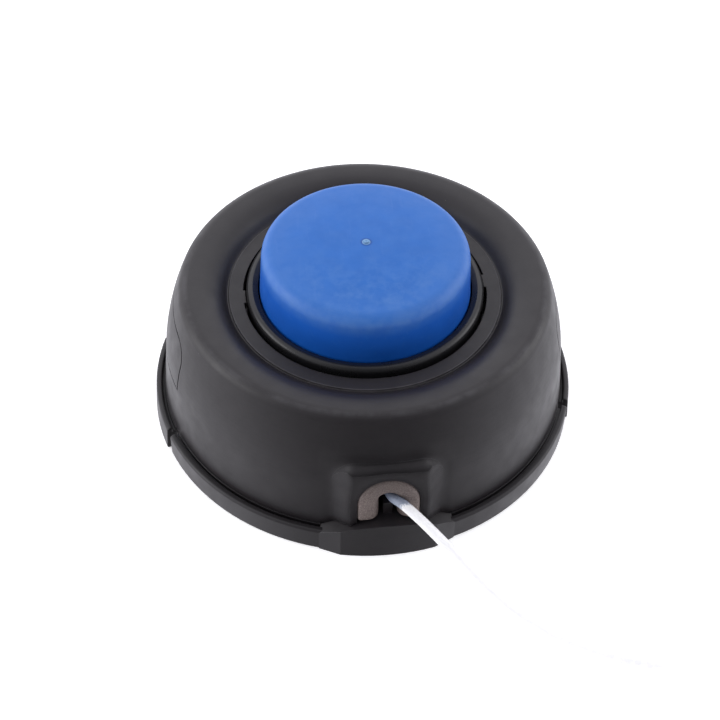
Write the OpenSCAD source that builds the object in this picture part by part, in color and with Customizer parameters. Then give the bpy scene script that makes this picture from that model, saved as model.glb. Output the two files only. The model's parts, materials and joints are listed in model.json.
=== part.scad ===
// Dual-line tap-feed trimmer head, standing on its flange with the tap button up.
// Origin: centre of the flange's underside. +Z points from the gearbox side to the tap button.
// The eyelets lie on the Y axis and the latches on the X axis.

/* [Flange] */
// Diameter of the flange that the head stands on
flange_d = 120; // [116:1:126]
// Height of the flange's rim
flange_h = 7.5; // [7:0.25:8.5]
// Width of the flange outside the cover
flange_w = 2.7; // [2.2:0.1:3.4]
// Rounding of the flange's top edge
flange_round = 0.8; // [0.4:0.1:1.2]
// Thickness of the housing's floor
floor_t = 2.4; // [2:0.1:3]
// Half angle of one latch, seen from the axis
latch_half_angle = 17.6; // [14:0.2:20]
// Slit on each side of a latch, at the rim
latch_slit = 2.4; // [1.6:0.2:3.2]

/* [Nose under each eyelet] */
// How far the nose stands out of the flange
nose_out = 1.2; // [0.8:0.1:2]
// Height of the nose's arched top
nose_h = 12.7; // [11.5:0.1:13.5]
// Radius of that arch, seen from the front
nose_arch_r = 31; // [28:1:36]
// Half angle at which the nose has run out into the flange
nose_half_angle = 17.7; // [16:0.2:19]
// Half angle of the nose's full width
nose_flat_angle = 12; // [9:0.5:13]

/* [Cover] */
// Height of the cover's crest
cover_h = 43.8; // [42.5:0.1:45]
// Wall of the cover
cover_wall = 2.4; // [1.8:0.1:2.8]
// Draft of the cover's side wall
cover_draft = 5.4; // [4:0.2:7]
// Radius of the shoulder's long curve
shoulder_r = 70; // [60:1:80]
// Slope at which that curve meets the crest
shoulder_angle = 22; // [20:0.5:24]
// Rounding of the crest
crest_r = 3.5; // [3:0.1:4]
// Radius of the dish inside the crest
dish_r = 8.4; // [7.8:0.1:9]
// Slope at which the dish leaves the crest
dish_angle = 52; // [48:1:56]
// Height of the flat ring round the knob
ring_z = 39.7; // [39.4:0.1:40]
// Gap between that ring and the knob
knob_gap = 0.9; // [0.7:0.1:1.2]
// Width of the two guide pads in that gap
pad_w = 4.9; // [3:0.1:7]

/* [Windows and latches] */
// Height of a window's lower edge
window_z0 = 22.5; // [20:0.5:25]
// Height of a window's upper edge
window_z1 = 37.5; // [35:0.5:38.5]
// Rounding of a window's upper corners
window_round = 6; // [3:0.5:7]
// Gap round a latch tab in its window
latch_gap = 0.5; // [0.3:0.1:0.8]
// Thickness of a latch arm
arm_t = 2; // [1.6:0.1:2.4]

/* [Eyelets] */
// Height of the line hole
eyelet_z = 18.5; // [18:0.1:20]
// Width of an eyelet
eyelet_w = 16.4; // [15.6:0.2:17.2]
// Width of the line slot at its throat
throat_w = 4.9; // [4.4:0.1:5.2]
// How far an eyelet's face lies outside the cover's wall
eyelet_out = 2.2; // [1.8:0.1:2.6]
// How far that face stands out of the pocket round it
eyelet_proud = 0.4; // [0.2:0.1:0.8]
// Radius of the flare that the line bends over
flare_r = 3; // [2.6:0.1:3.2]
// Depth of the pocket in the boss's face
pocket_depth = 0.8; // [0.5:0.1:1.2]
// Width of the boss that carries an eyelet
boss_w = 28.8; // [26:0.2:31]
// Height at which the boss's top meets the cover
boss_top = 30.8; // [30:0.2:32]

/* [Line] */
// Diameter of the cutting line
line_d = 2.7; // [2.4:0.1:2.8]
// Turns of line side by side in one half of the spool
rows_per_half = 2; // [1:1:2]

/* [Knob and tap button] */
// Outer diameter of the knob's ring
knob_d = 65.2; // [64:0.2:66]
// Height of the knob ring's rounded crest
knob_top = 41.9; // [41.4:0.1:42.6]
// Diameter of the tap button where it leaves the ring
button_d = 57.8; // [56:0.2:58.6]
// Height of the tap button's crown
button_top = 57; // [55:0.5:59]
// Height at which the button's side ends and its edge rounding starts
button_side_top = 51.8; // [50:0.2:52.4]
// Draft of the button's side
button_draft = 4; // [2:0.5:6]
// Rounding of the button's edge
button_round = 3.8; // [3:0.1:4.5]
// Wall of the button
button_wall = 2.8; // [2.2:0.1:3.4]
// Gap between the button and the knob's ring
button_gap = 0.5; // [0.4:0.1:0.8]

/* [Spool] */
// Outer diameter of the spool's flanges
spool_d = 94; // [90:1:95]
// Underside of the spool at rest
spool_z = 16.5; // [16:0.1:17]
// Thickness of a spool flange
spool_flange_t = 1.8; // [1.4:0.1:2.2]
// Thickness of the divider between the two lines
divider_t = 1.3; // [1:0.1:1.6]
// Wall of the spool's hub
hub_wall = 2.2; // [1.8:0.1:2.6]
// How far the tap button travels
tap_travel = 6; // [5:0.25:6.25]
// Number of index teeth on each face
teeth = 6; // [5:1:6]
// Angle that one index tooth covers
tooth_angle = 12; // [10:0.5:14]
// Play before the line's pull is taken by the cover's teeth
tooth_play = 0.5; // [0.3:0.1:1]
// Inner diameter of the index teeth
tooth_in_d = 76; // [72:1:78]
// Outer diameter of the index teeth
tooth_out_d = 90; // [86:1:92]

/* [Post, thread and spring] */
// Outer diameter of the housing's post
post_d = 26; // [25.6:0.1:26.4]
// Height of the post's top
post_top = 26; // [24:0.5:26.5]
// Running gap between the post and the spool
post_gap = 0.3; // [0.2:0.05:0.4]
// Thread size of the drive shaft
thread_d = 12; // [10:1:12]
// Pitch of the drive shaft's thread
thread_pitch = 1.75; // [1.25:0.25:1.75]
// Width of the threaded insert across its flats
insert_flats = 19; // [17:0.5:20]
// Underside of the insert
insert_z = 2; // [1.5:0.5:3]
// Length of the insert
insert_len = 18; // [15:0.5:20]
// Wire of the spring
wire_d = 2; // [1.6:0.1:2.4]
// Mean diameter of the spring
spring_d = 40; // [39:0.5:41]
// Turns of the spring
spring_turns = 5.5; // [4.5:0.5:6.5]
// Thickness of the steel seat under the spring
seat_t = 0.8; // [0.6:0.1:1.2]

/* [Ball bearing in the knob] */
// Bore of the bearing
bearing_bore = 17; // [16.6:0.1:17.4]
// Outer diameter of the bearing
bearing_d = 35; // [34.8:0.1:35.4]
// Width of the bearing
bearing_w = 10; // [9.6:0.1:10.4]
// Diameter of a ball
ball_d = 4.76; // [4.4:0.04:4.96]
// Number of balls
balls = 9; // [7:1:10]
// Diameter of the button screw's shank
screw_d = 5; // [4:0.5:6]

/* [Hidden] */
$fn = 96;
// Overlap that makes two solids of one piece merge
eps = 0.05;
far = 200;

black = "#2c2d2f";
gloss_black = "#242628";
blue = "#2f6bc4";
sintered = "#8b8078";
steel = "#b5b8bb";
line_white = "#e9ecef";

// Flange, floor and rim
flange_r = flange_d / 2;
cover_r = flange_r - flange_w;
lip_z = flange_h + 0.1;
floor_top = flange_h - 0.1;
floor_z = floor_top - floor_t;
rim_in_r = cover_r - 0.1;
rim_lap = 0.2;
groove_w = 1.1;
groove_z = flange_h - 1.6;
foot_chamfer = 0.4;
latch_out = 0.5;
arm_gap = 0.4;
slit_angle = latch_slit / flange_r * 180 / PI;
slit_depth = 12;
slit_in_r = cover_r - slit_depth;
spigot_gap = 0.2;
spigot_t = 2;
spigot_h = 4.6;
spigot_r = wall_r(cover_wall, floor_top + spigot_h) - spigot_gap;
spigot_start = latch_half_angle + slit_angle + 2;
spigot_end = 90 - nose_half_angle - 2;
rib_h = 1;
rib_t = 1.6;
rib_count = 12;
ring_rib_r = 37;

// Outer curve of the cover: wall line, long shoulder curve, crest and dish share their normals
crest_z = cover_h - crest_r;
shoulder_cz = crest_z + crest_r * sin(shoulder_angle) - shoulder_r * sin(shoulder_angle);
shoulder_z = shoulder_cz + shoulder_r * sin(cover_draft);
shoulder_start_r = wall_r(0, shoulder_z);
shoulder_cr = shoulder_start_r - shoulder_r * cos(cover_draft);
crest_cr = shoulder_cr + (shoulder_r - crest_r) * cos(shoulder_angle);
dish_cr = crest_cr - (crest_r + dish_r) * sin(dish_angle);
dish_cz = crest_z + (crest_r + dish_r) * cos(dish_angle);
dish_z = dish_cz - dish_r;
roof_z = dish_z - cover_wall;
knob_r = knob_d / 2;
hole_r = knob_r + knob_gap;
ring_step = 0.4;
ring_r = dish_cr - ring_step;
collar_t = 2;
collar_h = 2.3;
pad_gap = 0.25;

// Eyelets: their own frame is tilted with the cover's wall
eyelet_y = wall_r(0, eyelet_z);
eyelet_r = eyelet_w / 2;
throat_r = throat_w / 2;
// How far the two flanges of an eyelet reach over the wall
clasp_front = 2;
clasp_rear = 1.5;
neck_r = eyelet_r - clasp_front;
neck_gap = 0.1;
wall_play = 0.05;
inner_reach = 6;
rear_t = 1.35;
rear_r = neck_r + clasp_rear;
rear_flare_r = 2;
leg_gap = 0.5;
leg_play = 0.4;
eyelet_leg = eyelet_z - nose_h - leg_gap;
pocket_floor = eyelet_out - eyelet_proud;
pocket_margin = 0.9;
pocket_slope = 4;
pocket_r = eyelet_r + pocket_margin;
pocket_edge_r = pocket_r + pocket_slope * pocket_depth;
boss_out = pocket_floor + pocket_depth;
boss_slope_w = 4.7;
boss_slope_h = 4.5;
boss_top_drop = 1;
boss_round = 6;

// Nose and tongue
nose_r = flange_r + nose_out;
nose_lap = 0.4;
nose_in_r = cover_r - cover_wall - nose_lap;
notch_gap = 0.4;
tongue_w = 2.4;
tongue_gap = 0.35;
tongue_top = eyelet_z - line_d / 2 - tongue_gap;
tongue_inset = 1.9;
tongue_y = eyelet_y - tongue_inset;
tongue_t = 2.3;

// Spool stack
spool_r = spool_d / 2;
post_r = post_d / 2;
spool_bore_r = post_r + post_gap;
winding_room = 0.5;
half_h = rows_per_half * line_d + winding_room;
divider_z = spool_z + spool_flange_t + half_h;
spool_top = divider_z + divider_t + half_h + spool_flange_t;
spring_room = 3.4;
pocket_in_r = spool_bore_r + hub_wall;
pocket_out_r = (spring_d + wire_d) / 2 + spring_room;
hub_r = pocket_out_r + hub_wall;
pocket_roof_t = 3.2;
pocket_top = spool_top - pocket_roof_t;
divider_step = 1;
tooth_in_r = tooth_in_d / 2;
tooth_out_r = tooth_out_d / 2;
upper_tooth_h = 3;
lower_tooth_h = 2.9;
tooth_end_gap = 0.4;
cover_tooth_z = spool_top + tooth_end_gap;
tap_stop_gap = 0.3;
housing_tooth_top = spool_z - tap_travel - tap_stop_gap;
pitch_angle = 360 / teeth;
// Turned from the spool's teeth: the cover's teeth take the line's pull, and the housing's take it
// while the button is tapped
cover_tooth_turn = tooth_angle + tooth_play;
tooth_stagger = 26;
housing_tooth_turn = cover_tooth_turn + tooth_stagger;
notch_w = 3.4;
notch_depth = 4;

// Bearing, knob and button
bearing_step = 2;
bearing_z = spool_top + bearing_step;
bearing_top = bearing_z + bearing_w;
bearing_r = bearing_d / 2;
bore_r = bearing_bore / 2;
ball_r = ball_d / 2;
ball_pitch_r = (bearing_r + bore_r) / 2;
ball_z = bearing_z + bearing_w / 2;
race_gap = 0.04;
groove_depth = 0.58;
race_half_gap = ball_r - groove_depth;
inner_race_r = ball_pitch_r - race_half_gap;
outer_race_r = ball_pitch_r + race_half_gap;
seal_t = 0.6;
seal_inset = 0.3;
seal_seat_r = outer_race_r + 0.5;
seal_play = 0.05;
seal_lip_gap = 0.1;
seal_slack = 0.02;
circlip_t = 1.5;
circlip_depth = 1;
circlip_r = bearing_r + circlip_depth;
circlip_w = 2.2;
circlip_play = 0.05;
circlip_room = 0.15;
circlip_z = bearing_top + 0.15;
seat_wall = 2.8;
seat_rim = 1.3;
seat_top = bearing_top + circlip_t + seat_rim;
knob_in_r = button_d / 2 + button_gap;
knob_round = 1.5;
knob_round_end = 100;
knob_in_drop = 0.7;
button_foot_drop = 0.8;
rib_top_gap = 1;
rib_foot_gap = 0.8;
button_r = button_d / 2;
button_base = roof_z;
crown_r = button_r - (button_side_top - knob_top) * tan(button_draft) - button_round;
crown_edge_z = button_side_top + button_round;
crown_t = 3.9;
button_ceiling = button_top - crown_t;
button_ribs = 8;
button_boss_r = inner_race_r - 0.4;
button_spigot_len = bearing_w - 0.2;
washer_t = 1.4;
washer_gap = 0.2;
bearing_fit = 0.01;
screw_gap = 0.05;
screw_r = screw_d / 2;
screw_head_r = screw_r * 1.85;
screw_head_h = screw_d * 0.6;
screw_key_r = screw_r * 0.9;
screw_key_depth = screw_head_h * 0.6;
screw_len = 14;
screw_end_gap = 0.5;

// Thread: the bore is cut to the thread's minor diameter
thread_minor_r = (thread_d - 1.0825 * thread_pitch) / 2;
insert_r = insert_flats / sqrt(3);
insert_gap = 0.02;
insert_chamfer = 1;
hub_foot_wall = 4;
hub_foot_r = insert_r + hub_foot_wall;
hub_foot_lip = 1;
hub_foot_z = insert_z - hub_foot_lip;
shaft_gap = 0.5;
shaft_r = thread_d / 2 + shaft_gap;

// Spring between its seat and the ceiling of the spool's pocket
seat_sink = 0.4;
seat_play = 0.3;
seat_recess_r = pocket_out_r - 0.5;
spring_z0 = floor_top - seat_sink + seat_t;
spring_z1 = pocket_top;
wire_sides = 8;
ring_steps = 24;

// Route of the line's free end, from inside the eyelet to the tip on the floor
line_route = [[0.2, -50.6, 18.9], [0.3, -53, 19], [0.5, -55, 19.1], [1.3, -57, 19.3],
    [2.9, -58.8, 19.4], [4.9, -61, 19], [7.9, -64.2, 17.8], [11.7, -68.3, 15.8], [15.5, -72.3, 13.4],
    [19.2, -76.3, 10.9], [23.1, -80.2, 8.5], [27.3, -83.9, 6.3], [31.8, -87.5, 4.6],
    [36.7, -90.8, 3.3], [41.8, -93.8, 2.4], [47.2, -96.4, 1.8], [52.8, -98.6, 1.5],
    [58.5, -100.5, 1.4], [64.3, -102.1, 1.4]];

function polar(r, a) = [r * cos(a), r * sin(a)];
function arc(c, r, a0, a1, n = 8) = [for (i = [0 : n]) c + polar(r, a0 + (a1 - a0) * i / n)];
// Radius of the cover's wall moved inwards by off, at height z below the shoulder
function wall_r(off, z) = cover_r - off / cos(cover_draft) - (z - lip_z) * tan(cover_draft);
function rev(list) = [for (i = [len(list) - 1 : -1 : 0]) list[i]];

// The side of the cover moved inwards by off, from height z0 up to the crest's start
function side_curve(off, z0) = concat(
    [[wall_r(off, z0), z0]],
    arc([shoulder_cr, shoulder_cz], shoulder_r - off, cover_draft, shoulder_angle, 12));

// The whole upper curve moved inwards by off, over the crest and down to the dish's bottom
function roof_curve(off) = concat(
    side_curve(off, lip_z),
    arc([crest_cr, crest_z], crest_r - off, shoulder_angle, 90 + dish_angle, 12),
    arc([dish_cr, dish_cz], dish_r + off, dish_angle - 90, -90, 8));

// A ring sector between two radii and two heights, centred on the angle 0
module ring_sector(r0, r1, z0, z1, angle) {
    rotate(-angle / 2)
        rotate_extrude(angle = angle)
            translate([r0, z0]) square([r1 - r0, z1 - z0]);
}

module ring(r0, r1, z0, z1) {
    rotate_extrude() translate([r0, z0]) square([r1 - r0, z1 - z0]);
}

// A section turned through an angle that is centred on +X
module section_sector(angle) {
    rotate(-angle / 2) rotate_extrude(angle = angle) children();
}

// Puts the children on both sides: at the front (-Y) and, turned, at the rear (+Y)
module both_sides() {
    for (turn = [0, 180]) rotate(turn) children();
}

// The frame of the front eyelet: x to the right, -y out of the wall, z up along it
module eyelet_frame() {
    translate([0, -eyelet_y, eyelet_z]) rotate([-cover_draft, 0, 0]) children();
}

// Sweeps a section (distance from the hole's axis, distance out) round the hole's top and
// straight down both its sides, in the eyelet's frame
module arch_sweep(leg) {
    rotate([90, 0, 0]) {
        rotate_extrude(angle = 180) children();
        for (side = [0, 1]) mirror([side, 0, 0]) rotate([90, 0, 0]) linear_extrude(leg) children();
    }
}

// A slot with a round top and open bottom, between two distances out
module arch_slot(r, out0, out1, leg) {
    arch_sweep(leg) translate([0, out0]) square([r, out1 - out0]);
}

// Teeth on one face: they turn about Z by turn
module index_teeth(z0, z1, turn) {
    for (i = [0 : teeth - 1])
        rotate(turn + i * pitch_angle)
            ring_sector(tooth_in_r, tooth_out_r, z0, z1, tooth_angle);
}

// Window outline in the Y-Z plane, made larger by grow
module window_outline(grow) {
    half = (cover_r * sin(latch_half_angle)) + grow;
    round_r = window_round + grow;
    z0 = window_z0 - grow;
    z1 = window_z1 + grow;
    translate([-half, z0]) square([2 * half, z1 - z0 - round_r]);
    translate([-half + round_r, z0]) square([2 * (half - round_r), z1 - z0]);
    for (side = [-1, 1]) translate([side * (half - round_r), z1 - round_r]) circle(round_r);
}

module window_prism(grow) {
    rotate([90, 0, 90]) linear_extrude(far) window_outline(grow);
}

// Arch over the nose: everything under it, raised by rise
module under_arch(rise) {
    translate([0, 0, nose_h - nose_arch_r + rise])
        rotate([90, 0, 0]) cylinder(h = far, r = nose_arch_r, center = true, $fn = 180);
}

// Section of the rim with its groove; out is how far its foot stands out further than its top
module rim_section(out) {
    polygon(concat(
        [[rim_in_r, 0], [flange_r + out - foot_chamfer, 0], [flange_r + out, foot_chamfer]],
        arc([flange_r - flange_round, flange_h - flange_round], flange_round, 10 * out, 90, 6),
        [[cover_r + groove_w, flange_h], [cover_r + groove_w, groove_z], [rim_in_r, groove_z]]));
}

// The slits that let each latch spring
module latch_slits() {
    both_sides() for (side = [0, 1]) mirror([0, side, 0])
        rotate(latch_half_angle + slit_angle / 2)
            ring_sector(slit_in_r, flange_r + 3, -1, floor_top + 1, slit_angle);
}

// The rim between the latches, and the latches' own thumb pieces with a spreading foot
module flange_rim() {
    thumb_angle = 2 * latch_half_angle + slit_angle;
    both_sides() {
        rotate(90) section_sector(180 - thumb_angle) rim_section(0);
        section_sector(thumb_angle) rim_section(latch_out);
    }
}

// The arm behind the cover's wall, and the tab that fills the window
module latch_arm() {
    out = cover_wall + arm_gap;
    intersection() {
        section_sector(2 * latch_half_angle - 2)
            polygon(concat(side_curve(out, floor_z), rev(side_curve(out + arm_t, floor_z))));
        translate([0, -far / 2, 0]) cube([far, far, window_z1 + 1]);
    }
    intersection() {
        section_sector(2 * latch_half_angle + 6)
            polygon(concat(side_curve(0, window_z0 - 1), rev(side_curve(out + eps, window_z0 - 1))));
        window_prism(-latch_gap);
    }
}

// Plan of the nose: full radius in the middle, running out into the flange at both ends
module nose_plan() {
    function at(r, a) = [r * sin(a), -r * cos(a)];
    difference() {
        intersection() {
            circle(nose_r, $fn = 180);
            polygon([[0, 0], at(flange_r, -nose_half_angle), at(nose_r, -nose_flat_angle),
                at(nose_r / cos(nose_flat_angle), 0), at(nose_r, nose_flat_angle),
                at(flange_r, nose_half_angle)]);
        }
        circle(nose_in_r);
    }
}

// Nose from the flange into the cover's notch, and the tongue in the eyelet's slot
module nose() {
    intersection() {
        linear_extrude(nose_h + 1) nose_plan();
        under_arch(0);
    }
    translate([-tongue_w / 2, -tongue_y - tongue_t, floor_z])
        cube([tongue_w, tongue_t, tongue_top - floor_z]);
}

module floor_ribs() {
    for (i = [0 : rib_count - 1]) rotate((i + 0.5) * 360 / rib_count)
        translate([hub_foot_r - 1, -rib_t / 2, floor_z - rib_h])
            cube([rim_in_r - hub_foot_r + 2, rib_t, rib_h + eps]);
    ring(ring_rib_r - rib_t / 2, ring_rib_r + rib_t / 2, floor_z - rib_h, floor_z + eps);
}

module housing() {
    color(black) difference() {
        union() {
            flange_rim();
            ring(shaft_r, rim_in_r + rim_lap, floor_z, floor_top);
            floor_ribs();
            // Foot of the hub and the post that the spool slides on
            ring(shaft_r, hub_foot_r, hub_foot_z, floor_top);
            ring(shaft_r, post_r, floor_z, post_top);
            index_teeth(floor_top - eps, housing_tooth_top, housing_tooth_turn);
            // Spigot wall that centres the cover, left out at the latches and noses
            both_sides() for (side = [0, 1]) mirror([0, side, 0])
                rotate((spigot_start + spigot_end) / 2)
                    ring_sector(spigot_r - spigot_t, spigot_r, floor_top - eps, floor_top + spigot_h,
                        spigot_end - spigot_start);
            both_sides() {
                nose();
                latch_arm();
            }
        }
        insert_hexagon(insert_gap);
        latch_slits();
        // Recess for the spring's seat
        ring(pocket_in_r, seat_recess_r, floor_top - seat_sink, floor_top + 1);
    }
}

// Outside of the threaded insert, made larger by grow for its pocket
module insert_hexagon(grow) {
    translate([0, 0, insert_z - grow])
        cylinder(h = insert_len + 2 * grow, r = insert_r + grow, $fn = 6);
}

module thread_insert() {
    color(steel) difference() {
        insert_hexagon(0);
        translate([0, 0, insert_z - 1]) cylinder(h = insert_len + 2, r = thread_minor_r);
        for (end = [0, 1]) translate([0, 0, insert_z + end * insert_len]) mirror([0, 0, end])
            translate([0, 0, -eps])
                cylinder(h = insert_chamfer + eps, r1 = thread_minor_r + insert_chamfer + eps,
                    r2 = thread_minor_r);
    }
}

module spring_seat() {
    color(steel)
        ring(pocket_in_r + seat_play, seat_recess_r - seat_play, floor_top - seat_sink, spring_z0);
}

// Compression spring with closed, flat ends, swept from a helix
module spring() {
    steps = ring_steps * spring_turns;
    wire_r = wire_d / 2;
    low = spring_z0 + wire_r;
    high = spring_z1 - wire_r;
    // The first and last turn lie flat: height rises only in between
    function lift(turn) = let (t = (turn - 0.8) / (spring_turns - 1.6), u = min(max(t, 0), 1))
        low + (high - low) * u;
    centres = [for (i = [0 : steps]) let (turn = i / ring_steps)
        concat(polar(spring_d / 2, 360 * turn), lift(turn))];
    points = [for (i = [0 : steps]) for (k = [0 : wire_sides - 1])
        let (a = 360 * i / ring_steps, w = polar(wire_r, 360 * (k + 0.5) / wire_sides))
        centres[i] + [w[0] * cos(a), w[0] * sin(a), w[1]]];
    color(steel) polyhedron(points, tube_faces(steps, wire_sides));
}

// Faces of a closed tube with flat ends: rings of sides points, from 0 to last
function tube_faces(last, sides) = concat(
    [[for (k = [0 : sides - 1]) k]],
    [for (i = [0 : last - 1]) for (k = [0 : sides - 1]) let (next = (k + 1) % sides)
        [i * sides + k, (i + 1) * sides + k, (i + 1) * sides + next, i * sides + next]],
    [[for (k = [sides - 1 : -1 : 0]) last * sides + k]]);

module spool() {
    color(gloss_black) difference() {
        union() {
            ring(spool_bore_r, pocket_in_r, spool_z, bearing_z);
            ring(pocket_out_r, hub_r, spool_z, spool_top);
            ring(pocket_in_r - eps, hub_r, pocket_top, spool_top);
            ring(pocket_out_r, spool_r, spool_z, spool_z + spool_flange_t);
            ring(hub_r - eps, spool_r - divider_step, divider_z, divider_z + divider_t);
            ring(spool_bore_r, spool_r, spool_top - spool_flange_t, spool_top);
            ring(spool_bore_r, bearing_r, spool_top - eps, bearing_z);
            ring(bearing_r, bearing_r + seat_wall, spool_top - eps, seat_top);
            knob_ring();
            knob_ribs();
            index_teeth(spool_z - lower_tooth_h, spool_z + eps, 0);
            index_teeth(spool_top - eps, spool_top + upper_tooth_h, 0);
        }
        // Notch through which the line crosses from one half to the other
        rotate(pitch_angle / 2)
            translate([spool_r - divider_step - notch_depth, -notch_w / 2, divider_z - 1])
                cube([notch_depth + 2, notch_w, divider_t + 2]);
        // Notches that park the line's ends in both flanges
        for (turn = [0, 180]) rotate(turn + 90) translate([spool_r - notch_depth, -line_d / 2, 0])
            cube([notch_depth + 1, line_d, spool_top + 1]);
        // Groove of the bearing's retaining ring
        ring(bearing_r - eps, circlip_r + circlip_room, circlip_z - circlip_play,
            circlip_z + circlip_t + circlip_play);
    }
}

// The black ring round the tap button and the neck that carries it
module knob_ring() {
    rotate_extrude() polygon(concat(
        [[knob_in_r, spool_top - eps], [knob_r, spool_top - eps]],
        arc([knob_r - knob_round, knob_top - knob_round], knob_round, 0, knob_round_end),
        [[knob_in_r, knob_top - knob_in_drop]]));
}

// Ribs that tie the bearing's seat to the knob's neck
module knob_ribs() {
    for (i = [0 : teeth - 1]) rotate((i + 0.5) * pitch_angle)
        translate([bearing_r + seat_wall - 0.5, -rib_t / 2, spool_top - eps])
            cube([knob_in_r - bearing_r - seat_wall + 1, rib_t, button_base - rib_top_gap - spool_top]);
}

// Both lengths of line as wound: two packs joined by the line that crosses the divider
module line_winding() {
    gap = 0.1;
    turn_r = line_d / 2;
    pack_h = half_h - 2 * gap;
    outer_r = spool_r - notch_depth;
    cross_r = spool_r - divider_step - notch_depth + gap;
    module pack(z0) {
        rotate_extrude() {
            translate([hub_r + gap, z0 + gap]) square([outer_r - turn_r - hub_r - gap, pack_h]);
            for (row = [0 : rows_per_half - 1])
                translate([outer_r - turn_r, z0 + gap + pack_h * (row + 0.5) / rows_per_half])
                    circle(turn_r, $fn = 32);
        }
    }
    color(line_white) {
        pack(spool_z + spool_flange_t);
        pack(divider_z + divider_t);
        rotate(pitch_angle / 2) translate([cross_r, -turn_r, divider_z - turn_r])
            cube([outer_r - turn_r - cross_r, line_d, divider_t + line_d]);
    }
}

module race(r0, r1) {
    difference() {
        ring(r0, r1, bearing_z, bearing_top);
        rotate_extrude() translate([ball_pitch_r, ball_z]) circle(ball_r + race_gap);
    }
}

module bearing_outer_ring() {
    color(steel) difference() {
        race(outer_race_r, bearing_r);
        seal_seats();
    }
}

module bearing_inner_ring() {
    color(steel) race(bore_r, inner_race_r);
}

// Shallow steps in the outer ring that hold the two seals
module seal_seats() {
    ring(0, seal_seat_r, bearing_z - 1, bearing_z + seal_inset + seal_t);
    ring(0, seal_seat_r, bearing_top - seal_inset - seal_t, bearing_top + 1);
}

module bearing_seal(z0) {
    color(black)
        ring(inner_race_r + seal_lip_gap, seal_seat_r - seal_play, z0, z0 + seal_t - seal_slack);
}

module bearing_seal_upper() {
    bearing_seal(bearing_top - seal_inset - seal_t + seal_slack);
}

module bearing_seal_lower() {
    bearing_seal(bearing_z + seal_inset);
}

module bearing_balls() {
    color(steel) for (i = [0 : balls - 1]) rotate(i * 360 / balls)
        translate([ball_pitch_r, 0, ball_z]) sphere(ball_r);
}

// Crown cage: a base ring under the balls with pockets open to the top
module bearing_cage() {
    pocket_gap = 0.1;
    race_clear = 0.6;
    base_t = 0.7;
    horn_h = 0.8;
    cage_w = 2 * (race_half_gap - race_clear);
    base_z = ball_z - ball_r - pocket_gap - base_t;
    color(sintered) difference() {
        ring(ball_pitch_r - cage_w / 2, ball_pitch_r + cage_w / 2, base_z, ball_z + horn_h);
        for (i = [0 : balls - 1]) rotate(i * 360 / balls)
            translate([ball_pitch_r, 0, ball_z]) sphere(ball_r + pocket_gap);
    }
}

// Internal retaining ring with two eyes, above the bearing
module retaining_ring() {
    gap_angle = 40;
    eye_r = 1.9;
    eye_hole_r = 0.9;
    eye_inset = 1.4;
    eye_at = circlip_r - eye_r - eye_inset;
    color(steel) translate([0, 0, circlip_z]) difference() {
        union() {
            rotate(gap_angle / 2) rotate_extrude(angle = 360 - gap_angle)
                translate([circlip_r - circlip_w, 0]) square([circlip_w, circlip_t]);
            for (side = [-1, 1]) rotate(side * gap_angle / 2)
                translate([eye_at, 0, 0]) cylinder(h = circlip_t, r = eye_r);
        }
        for (side = [-1, 1]) rotate(side * gap_angle / 2)
            translate([eye_at, 0, -1]) cylinder(h = circlip_t + 2, r = eye_hole_r);
    }
}

// Tap button: a drafted cup with a domed crown, and a ribbed boss with the bearing's spigot
module tap_button() {
    crown_tilt = 2 * atan((button_top - crown_edge_z) / crown_r);
    crown_cz = button_side_top - crown_r / tan(crown_tilt);
    crown_sphere_r = crown_r / sin(crown_tilt) + button_round;
    inner_r = button_r - button_wall;
    inner_round = 2.5;
    spigot_z = bearing_top - button_spigot_len;
    color(blue) difference() {
        union() {
            rotate_extrude() polygon(concat(
                [[inner_r, button_base], [button_r, button_base],
                    [button_r, knob_top - button_foot_drop]],
                arc([crown_r, button_side_top], button_round, button_draft, 90 - crown_tilt),
                arc([0, crown_cz], crown_sphere_r, 90 - crown_tilt, 90, 6),
                [[0, button_ceiling]],
                arc([inner_r - inner_round - 0.4, button_ceiling - inner_round], inner_round, 90, 0)));
            // Nub left by the mould at the middle of the crown
            translate([0, 0, button_top - 0.5]) cylinder(h = 0.9, r1 = 1, r2 = 0.7);
            ring(screw_r, button_boss_r, bearing_top, button_ceiling + eps);
            ring(screw_r, bore_r - bearing_fit, spigot_z, bearing_top + eps);
            for (i = [0 : button_ribs - 1]) rotate(i * 360 / button_ribs)
                translate([button_boss_r - 0.5, -rib_t / 2, seat_top + rib_foot_gap])
                    cube([inner_r - button_boss_r, rib_t, button_ceiling - seat_top]);
        }
        translate([0, 0, spigot_z - 1]) cylinder(h = screw_len + 1, r = screw_r + screw_gap);
    }
}

module button_washer() {
    color(steel) ring(screw_r + washer_gap, button_boss_r, bearing_z - washer_t, bearing_z);
}

// Pan-head screw, driven from below
module button_screw() {
    head_z = bearing_z - washer_t;
    color(steel) translate([0, 0, head_z]) difference() {
        union() {
            translate([0, 0, -screw_head_h]) cylinder(h = screw_head_h, r = screw_head_r);
            translate([0, 0, -eps]) cylinder(h = screw_len + washer_t - screw_end_gap, r = screw_r);
        }
        translate([0, 0, -screw_head_h - 1])
            cylinder(h = screw_key_depth + 1, r = screw_key_r, $fn = 6);
    }
}

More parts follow.
